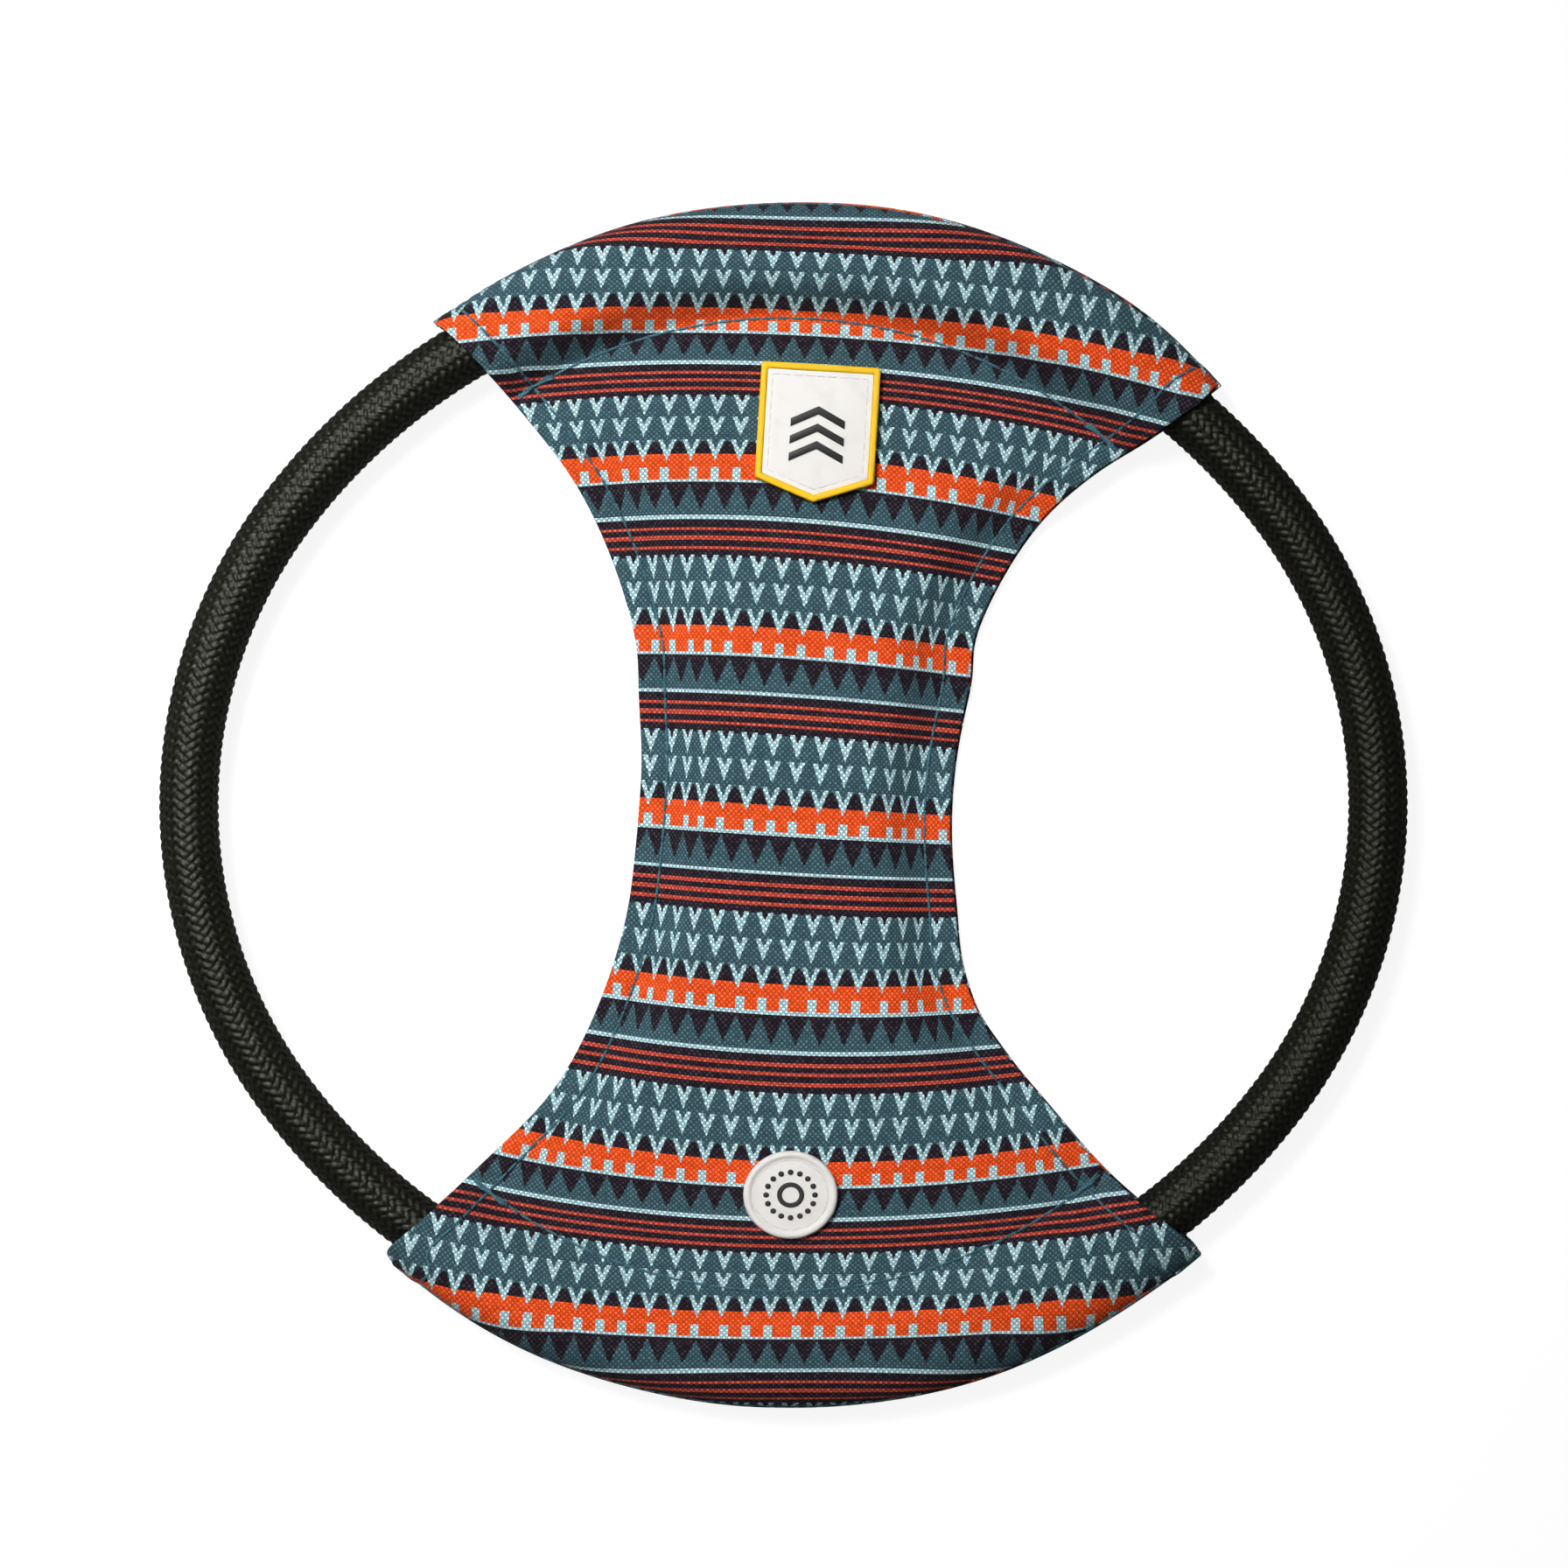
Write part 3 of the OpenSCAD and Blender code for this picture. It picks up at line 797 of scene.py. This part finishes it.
def frame_on_cloth(x, y, is_front):
    # Points on one face of the cover, and the way that the face looks there
    step = 0.15
    side = 1 if is_front else -1
    z = mid_z + cloth_face(x, y, side)
    fall_x = (cloth_face(x + step, y, side) - cloth_face(x - step, y, side)) / (2 * step)
    fall_y = (cloth_face(x, y + step, side) - cloth_face(x, y - step, side)) / (2 * step)
    normals = unit(np.stack([-fall_x, -fall_y, np.ones_like(x)], axis=-1))
    return np.stack([x, y, z], axis=-1), normals * side


def stitches_along(points, normals, pitch, length, lift):
    # Cuts a line on the cloth into stitches, each of which comes up, lies on the face and goes down again
    run = np.concatenate([[0], np.cumsum(np.linalg.norm(np.diff(points, axis=0), axis=1))])
    count = max(int((run[-1] - length) / pitch) + 1, 1)
    first = (run[-1] - (count - 1) * pitch - length) / 2
    along = np.linspace(0, 1, 7)
    at = first + np.arange(count)[:, None] * pitch + along[None, :] * length
    spots = np.stack([np.interp(at, run, points[:, k]) for k in range(3)], axis=-1)
    ways = np.stack([np.interp(at, run, normals[:, k]) for k in range(3)], axis=-1)
    over = np.sin(math.pi * along) ** 0.6
    return spots + ways * (lift * over - stitch_sunk)[None, :, None], ways


def thread_mesh(name, stitches, ways, r):
    sides = 6
    stitches = on_the_floor(stitches, stitch_lowest)
    tangents = unit(np.gradient(stitches, axis=1))
    beside = unit(np.cross(tangents, ways))
    upward = np.cross(beside, tangents)
    around = np.arange(sides) * 2 * math.pi / sides
    ring = np.cos(around)[:, None] * upward[:, :, None, :] + np.sin(around)[:, None] * beside[:, :, None, :]
    n_stitches, n_rings = stitches.shape[:2]
    taper = np.where(np.isin(np.arange(n_rings), (0, n_rings - 1)), stitch_end_share, 1.0)
    points = stitches[:, :, None, :] + r * taper[None, :, None, None] * ring
    start = (np.arange(n_stitches) * n_rings * sides)[:, None]
    finish = start + (n_rings - 1) * sides
    walls = (start[:, :, None] + ring_walls(0, n_rings, sides)).reshape(-1, 4)
    caps = [start + np.array(c) for c in ([3, 2, 1, 0], [5, 4, 3, 0])]
    caps += [finish + np.array(c) for c in ([0, 1, 2, 3], [0, 3, 4, 5])]
    faces = np.concatenate([walls] + caps)
    run = np.linspace(0, stitch_l, n_rings)[None, :, None] + 0 * points[..., 0]
    turn = np.arange(sides)[None, None, :] / sides + 0 * points[..., 0]
    twist_map = np.stack([run, turn], axis=-1).reshape(-1, 2)[faces.ravel()]
    return make_mesh(name, on_the_floor(points.reshape(-1, 3), thread_lowest), faces, {"twist": twist_map})


def new_group(name, inputs, outputs):
    group = bpy.data.node_groups.new(name, "ShaderNodeTree")
    for way, sockets in (("INPUT", inputs), ("OUTPUT", outputs)):
        for socket_name, kind in sockets:
            group.interface.new_socket(socket_name, in_out=way, socket_type="NodeSocket" + kind)
    return group, group.nodes.new("NodeGroupInput"), group.nodes.new("NodeGroupOutput")


def twisted_yarn():
    # The lay of a sewing thread: painted highlight on each ply and painted shade between the plies
    sockets_in = [("Dark", "Color"), ("Light", "Color")]
    sockets_out = [("Colour", "Color"), ("Height", "Float")]
    group, given, result = new_group("thread_twist", sockets_in, sockets_out)
    lay = on_map(group, "twist")
    ply = calc(group, "MULTIPLY_ADD", lay[0], 1.7, calc(group, "MULTIPLY", lay[1], 2.0))
    ply = calc(group, "PINGPONG", ply, 0.5)
    ply = calc(group, "MULTIPLY", ply, 2.0)
    uneven = noise(group, in_place(group), 500.0, 2.0)
    painted_ply_light = calc(group, "MULTIPLY", ply, rescale(group, uneven, 0.5, 1.3))
    feed(result, 0, mix_colour(group, painted_ply_light, given.outputs[0], given.outputs[1]))
    feed(result, 1, ply)
    return group


thread_twist = twisted_yarn()


def thread_finish(name, dark, light):
    material, tree, shader = new_material(name, 0.55, sheen=0.1, specular=0.4)
    # The dark colour is the painted shade between the plies and the light one the painted highlight on them
    twist = node(tree, "Group", {"Dark": srgb(dark), "Light": srgb(light)}, node_tree=thread_twist)
    feed(shader, "Base Color", twist.outputs["Colour"])
    add_bump(tree, shader, twist.outputs["Height"], 0.08, 0.6)
    return material


teal_thread = thread_finish("teal_thread", "#16404d", "#5795a6")


def sew(row_name, points, normals, lift):
    # One row of teal stitches on the cover
    sewn = stitches_along(points, normals, stitch_pitch, stitch_l, lift)
    mesh = thread_mesh(row_name + "_stitches", *sewn, thread_r)
    place(row_name + "_stitches", mesh, teal_thread, "cover", [row_name + "_thread"])


def row_on_sleeve(middle, r, clear):
    # A row about the ring's middle, as far as it stays clear of the side edges
    turn = middle + np.linspace(-1, 1, 2400)
    x = r * np.cos(turn)
    y = r * np.sin(turn)
    kept = np.minimum(from_edge(x, y, left_scoop), from_edge(x, y, right_scoop)) > clear
    return turn[kept], x[kept], y[kept]


for scoop, side_name in ((left_scoop, "left"), (right_scoop, "right")):
    middle = 0.0 if scoop is left_scoop else math.pi
    turn = middle + np.linspace(-1.2, 1.2, 2400)
    row_y = scoop[0][1] + scoop[1] * np.sin(turn)
    for _ in range(4):
        out = edge_r(row_y, scoop) + edge_inset
        row_x = scoop[0][0] + out * np.cos(turn)
        row_y = scoop[0][1] + out * np.sin(turn)
    row_r = np.hypot(row_x, row_y) - seam_slip(row_x, row_y, reach_at_equator)
    kept = row_r < channel_out_r + drop_r * edge_row_share
    for is_front, thread_name in thread_sides:
        row_points, row_normals = frame_on_cloth(row_x[kept], row_y[kept], is_front)
        sew(side_name + "_edge_" + thread_name, row_points, row_normals, stitch_lift)

tacks = []
for end_name, middle in sleeve_middles:
    turn, row_x, row_y = row_on_sleeve(middle, channel_row_r, 0.9)
    for is_front, thread_name in thread_sides:
        row_points, row_normals = frame_on_cloth(row_x, row_y, is_front)
        sew(end_name + "_channel_" + thread_name, row_points, row_normals, stitch_lift)
        for tack_start, inward in ((turn[0], 1), (turn[-1], -1)):
            for lane, (lane_from, lane_to, begin) in enumerate(tack_lanes):
                tack_turn = tack_start + inward * (begin + np.linspace(0, tack_l - lane, 60)) / channel_row_r
                tack_r = channel_row_r + np.linspace(lane_from, lane_to, 60)
                spots, ways = frame_on_cloth(tack_r * np.cos(tack_turn), tack_r * np.sin(tack_turn), is_front)
                lift = tack_lift + tack_lane_lift * lane
                tacks.append(stitches_along(spots, ways, stitch_l, stitch_l + tack_overlap, lift))
tack_paths, tack_ways = (np.concatenate(part) for part in zip(*tacks))
tack_mesh = thread_mesh("corner_tack_stitches", tack_paths, tack_ways, thread_r)
place("corner_tack_stitches", tack_mesh, teal_thread, "cover", ["corner_tacks"])

# The seam's own thread just shows where the front turns in over the back
seam_r, seam_h, seam_out, seam_up = (float(v) for v in sleeve_section(front_reach))
for end_name, middle in sleeve_middles:
    turn, row_x, row_y = row_on_sleeve(middle, seam_r, 1.5)
    row_r = seam_r - 0.25 + seam_slip(row_x, row_y, front_reach)
    row_z = 0 * row_x + mid_z + seam_h - seam_thread_sunk
    row_points = np.stack([row_r * row_x / seam_r, row_r * row_y / seam_r, row_z], axis=-1)
    row_ways = np.stack([seam_out * row_x / seam_r, seam_out * row_y / seam_r, 0 * row_x + seam_up], axis=-1)
    sew(end_name + "_seam", row_points, row_ways, 0.2)

# Shield badge
# A soft rubber shield in three pours: a yellow base with a raised border, a white field inside it and dark
# chevrons on that. White thread sews it to the front through the field.
shield_centre = (6.2, 68.3)
shield_tilt = math.radians(-3.5)
shield_w = 22.0
shield_side_h = 21.4
shield_point_h = 4.0
shield_border_w = 1.25
badge_floor_t = 0.9
badge_edge_h = 0.8
badge_thread_r = 0.13
badge_thread_lift = 0.14
badge_stitch_pitch = 2.1
badge_stitch_l = 1.8
moulded_crease = math.radians(50)
shield_h = shield_side_h + shield_point_h


def at_height(loop, z):
    return np.concatenate([loop, np.full((len(loop), 1), z)], axis=1)


def shield_loop(inset, z, corner_r=0.4):
    # The outline, drawn in by a distance, with rounded corners, about the badge's middle
    half = shield_w / 2 - inset
    lean = math.atan2(shield_point_h, shield_w / 2)
    tip = inset / math.cos(lean) - shield_h
    side = tip + half * math.tan(lean)
    corners = np.array([[-half, side], [0, tip], [half, side], [half, -inset], [-half, -inset]])
    loop = []
    for i, corner in enumerate(corners):
        before = unit(corners[i - 1] - corner)
        after = unit(corners[(i + 1) % len(corners)] - corner)
        half_angle = math.acos(float(before @ after)) / 2
        reach = corner_r / math.tan(half_angle)
        t = np.linspace(0, 1, 8)[:, None]
        start = corner + before * reach
        end = corner + after * reach
        loop.append((1 - t) ** 2 * start + 2 * t * (1 - t) * corner + t**2 * end)
    return at_height(np.concatenate(loop) + np.array([0, shield_h / 2]), z)


def on_cover(points, centre, turn):
    # From a badge's own place to its place on the front
    c, s = math.cos(turn), math.sin(turn)
    x = centre[0] + points[..., 0] * c - points[..., 1] * s
    y = centre[1] + points[..., 0] * s + points[..., 1] * c
    return np.stack([x, y, points[..., 2] + mid_z + cloth_t], axis=-1)


def ring_cap(first_point, n_points):
    # Faces across the inside of one ring of points
    i = np.arange(n_points // 2 - 1)
    return first_point + np.stack([i, i + 1, n_points - 2 - i, n_points - 1 - i], axis=-1)


def moulded_mesh(name, points, faces):
    mesh = make_mesh(name, points, faces, {})
    mesh.set_sharp_from_angle(angle=moulded_crease)
    return mesh


def poured(name, outline, steps, centre, turn):
    # A skin over a stack of outlines, closed across the last one
    loops = np.array([outline(*step) for step in steps])
    n_loops, n_points = loops.shape[:2]
    faces = np.concatenate([ring_walls(0, n_loops, n_points), ring_cap((n_loops - 1) * n_points, n_points)])
    return moulded_mesh(name, on_cover(loops, centre, turn).reshape(-1, 3), faces)


def moulded_skin():
    # The faint mottle and pits of moulded rubber
    sockets_in = [("Colour", "Color"), ("Grime", "Color")]
    sockets_out = [("Colour", "Color"), ("Roughness", "Float"), ("Height", "Float")]
    group, given, result = new_group("rubber_skin", sockets_in, sockets_out)
    cloud = noise(group, in_place(group), 260.0, 4.0)
    pits = noise(group, in_place(group), 2600.0, 2.0)
    grime = node(group, "MapRange", {0: cloud, 1: 0.5, 2: 0.9, 3: 0.0, 4: 0.35}).outputs[0]
    feed(result, 0, mix_colour(group, grime, given.outputs[0], given.outputs[1]))
    feed(result, 1, rescale(group, cloud, 0.42, 0.62))
    feed(result, 2, pits)
    return group


rubber_skin = moulded_skin()


def rubber_finish(name, colour, grime):
    material, tree, shader = new_material(name, 0.5, specular=0.4)
    skin = node(tree, "Group", {"Colour": srgb(colour), "Grime": srgb(grime)}, node_tree=rubber_skin)
    feed(shader, "Base Color", skin.outputs["Colour"])
    feed(shader, "Roughness", skin.outputs["Roughness"])
    add_bump(tree, shader, skin.outputs["Height"], 0.04, 0.35)
    return material


yellow_rubber = rubber_finish("yellow_rubber", "#ffcc00", "#d9a100")
white_rubber = rubber_finish("white_rubber", "#f5f2ee", "#d6ccc5")
dark_rubber = rubber_finish("dark_rubber", "#2b2a2b", "#3d3a38")
white_thread = thread_finish("white_thread", "#ebe7e3", "#faf8f5")

edge_top = badge_floor_t + badge_edge_h
border_steps = [(0.1, -0.35, 0.7), (0.0, 0.15, 0.8)]
border_steps += [(inset, edge_top - down, corner_r) for inset, down, corner_r in (
    (0.0, 0.4, 0.8),
    (0.06, 0.18, 0.78),
    (0.2, 0.04, 0.7),
    (0.4, 0.0, 0.6),
    (shield_border_w - 0.3, 0.0, 0.45),
    (shield_border_w - 0.1, 0.06, 0.42),
    (shield_border_w, 0.2, 0.4),
    (shield_border_w, badge_edge_h, 0.4),
)]
shield_base = poured("shield_badge", shield_loop, border_steps, shield_centre, shield_tilt)
place("shield_badge", shield_base, yellow_rubber, "cover", ["shield_base"])

field_t = 0.5
field_top = badge_floor_t + field_t
stitch_groove = 0.95
field_steps = [(shield_border_w + inset, field_top + h) for inset, h in (
    (0.03, -field_t),
    (0.03, -0.06),
    (0.3, 0.0),
    (0.7, 0.0),
    (stitch_groove, -0.03),
    (1.2, 0.0),
    (1.6, 0.04),
)]
field_mesh = poured("shield_white_field", shield_loop, field_steps, shield_centre, shield_tilt)
place("shield_white_field", field_mesh, white_rubber, "cover", ["shield_field"])


def chevron_loop(inset, z, lift):
    half = 5.0 - inset
    rise = 2.5 * half / 5.0
    band = 1.5 - 2 * inset
    left = np.array([[-half, inset], [-half, inset + band], [0, inset + band + rise]])
    right = np.array([[half, inset + band], [half, inset], [0, inset + rise]])
    return at_height(np.concatenate([left, right]) + np.array([0, lift]), z)


chevron_corners = 6
chevron_steps = ((0.0, 0.0), (0.0, 0.18), (0.06, 0.26), (0.16, 0.3))
chevron_points = []
chevron_faces = []
for lift in (-5.4, -2.2, 1.0):
    base = len(chevron_points) * chevron_corners
    top = base + (len(chevron_steps) - 1) * chevron_corners
    for inset, h in chevron_steps:
        loop = on_cover(chevron_loop(inset, field_top + h, lift), shield_centre, shield_tilt)
        chevron_points.append(loop[::-1])
    chevron_faces.append(ring_walls(base, len(chevron_steps), chevron_corners))
    chevron_faces.append(top + np.array([[0, 1, 2, 3], [3, 4, 5, 0]]))
chevron_mesh = moulded_mesh("shield_chevrons", np.concatenate(chevron_points), np.concatenate(chevron_faces))
place("shield_chevrons", chevron_mesh, dark_rubber, "cover", ["shield_emblem"])


def badge_stitches(name, loop, centre, turn, stood_for):
    line = on_cover(np.concatenate([loop, loop[:1]]), centre, turn)
    ways = np.tile(np.array([0.0, 0.0, 1.0]), (len(line), 1))
    sewn = stitches_along(line, ways, badge_stitch_pitch, badge_stitch_l, badge_thread_lift)
    mesh = thread_mesh(name, *sewn, badge_thread_r)
    place(name, mesh, white_thread, "cover", [stood_for])


stitch_loop = shield_loop(shield_border_w + stitch_groove, field_top - 0.04)
badge_stitches("shield_stitches", stitch_loop, shield_centre, shield_tilt, "shield_thread")

# Round badge
# A white rubber disc with a thick rounded rim, a ring of dark dots and a plain dark ring, sewn on
# with white thread just inside the rim.
round_centre = (1.3, -71.8)
round_r = 8.7
round_rim_w = 1.3
round_oval = 0.93


def round_loop(r, z, sides=72, middle=(0, 0)):
    turn = np.arange(sides) * 2 * math.pi / sides
    x = middle[0] + r * np.cos(turn)
    y = round_oval * (middle[1] + r * np.sin(turn))
    return np.stack([x, y, z + 0 * x], axis=-1)


round_inner_r = round_r - round_rim_w
round_floor = badge_floor_t + 0.35
round_steps = [(round_r - 0.15, -0.35), (round_r, 0.2)]
round_steps += [(round_r - inset, edge_top - down) for inset, down in (
    (0.0, 0.75),
    (0.08, 0.4),
    (0.3, 0.12),
    (0.6, 0.0),
    (round_rim_w - 0.4, 0.02),
    (round_rim_w - 0.15, 0.12),
)]
round_steps += [(round_inner_r - inset, round_floor + h) for inset, h in (
    (0.05, 0.12),
    (0.25, 0.02),
    (0.5, -0.03),
    (0.75, 0.0),
)]
round_steps.append((3.0, round_floor))
round_mesh = poured("round_badge", round_loop, round_steps, round_centre, 0.0)
place("round_badge", round_mesh, white_rubber, "cover", ["round_base"])

emblem_z = round_floor - 0.05
ring_sides = 48
ring_profile = [(2.5, 0.0), (2.5, 0.2), (2.42, 0.28), (2.3, 0.3)]
ring_profile += [(1.8, 0.3), (1.68, 0.28), (1.6, 0.2), (1.6, 0.0)]
dot_sides = 12
dot_profile = [(0.55, 0.0), (0.55, 0.18), (0.48, 0.26), (0.3, 0.3)]
dot_count = 16
dot_circle_r = 4.5
dot_turns = np.arange(dot_count) * 2 * math.pi / dot_count
dot_middles = dot_circle_r * np.stack([np.cos(dot_turns), np.sin(dot_turns)], axis=-1)
marks = [(dot_profile, dot_sides, middle) for middle in dot_middles] + [(ring_profile, ring_sides, (0, 0))]
mark_points = []
mark_faces = []
mark_count = 0
for profile, sides, middle in marks:
    for r, h in profile:
        mark_points.append(on_cover(round_loop(r, emblem_z + h, sides, middle), round_centre, 0.0))
    mark_faces.append(ring_walls(mark_count, len(profile), sides))
    if profile is dot_profile:
        mark_faces.append(ring_cap(mark_count + (len(profile) - 1) * sides, sides))
    mark_count += len(profile) * sides
marks_mesh = moulded_mesh("round_marks", np.concatenate(mark_points), np.concatenate(mark_faces))
place("round_marks", marks_mesh, dark_rubber, "cover", ["round_emblem"])

stitch_loop = round_loop(round_inner_r - 0.5, round_floor - 0.01)
badge_stitches("round_stitches", stitch_loop, round_centre, 0.0, "round_thread")

# Floor and light
# A plain white sheet of paper under the ring, a soft box close by at the upper left that fades towards
# the lower right, and a wide, weaker box above.
floor_mesh = bpy.data.meshes.new("floor")
floor_mesh.from_pydata([(-3, -3, 0), (3, -3, 0), (3, 3, 0), (-3, 3, 0)], [], [(0, 1, 2, 3)])
floor = add_object("floor", floor_mesh)
floor_material, tree, shader = new_material("white_paper", 0.95, specular=0.0)
shader.inputs["Base Color"].default_value = (0.2, 0.2, 0.2, 1)
shader.inputs["Emission Strength"].default_value = 0.9
seen = node(tree, "LightPath", {}).outputs["Is Camera Ray"]
feed(shader, "Emission Color", mix_colour(tree, seen, (0, 0, 0, 1), (1, 1, 1, 1)))
floor_mesh.materials.append(floor_material)

world = bpy.data.worlds.new("studio")
world.use_nodes = True
background = world.node_tree.nodes["Background"]
background.inputs["Color"].default_value = (1, 1, 1, 1)
background.inputs["Strength"].default_value = 0.06
bpy.context.scene.world = world

for lamp_name, lamp_at, lamp_aim, lamp_size, lamp_spread, lamp_power in (
    ("key_box", (-0.42, 0.42, 0.92), (-0.12, 0.05, 0), 0.4, 30, 0.66),
    ("top_box", (-0.7, 0.65, 2.15), (0, 0, 0), 1.3, 180, 8.5),
):
    lamp_data = bpy.data.lights.new(lamp_name, "AREA")
    lamp_data.size = lamp_size
    lamp_data.spread = math.radians(lamp_spread)
    lamp_data.energy = lamp_power
    lamp = add_object(lamp_name, lamp_data)
    lamp.location = lamp_at
    lamp.rotation_euler = (mathutils.Vector(lamp_aim) - lamp.location).to_track_quat("-Z", "Y").to_euler()

bpy.context.scene.view_settings.view_transform = "Standard"
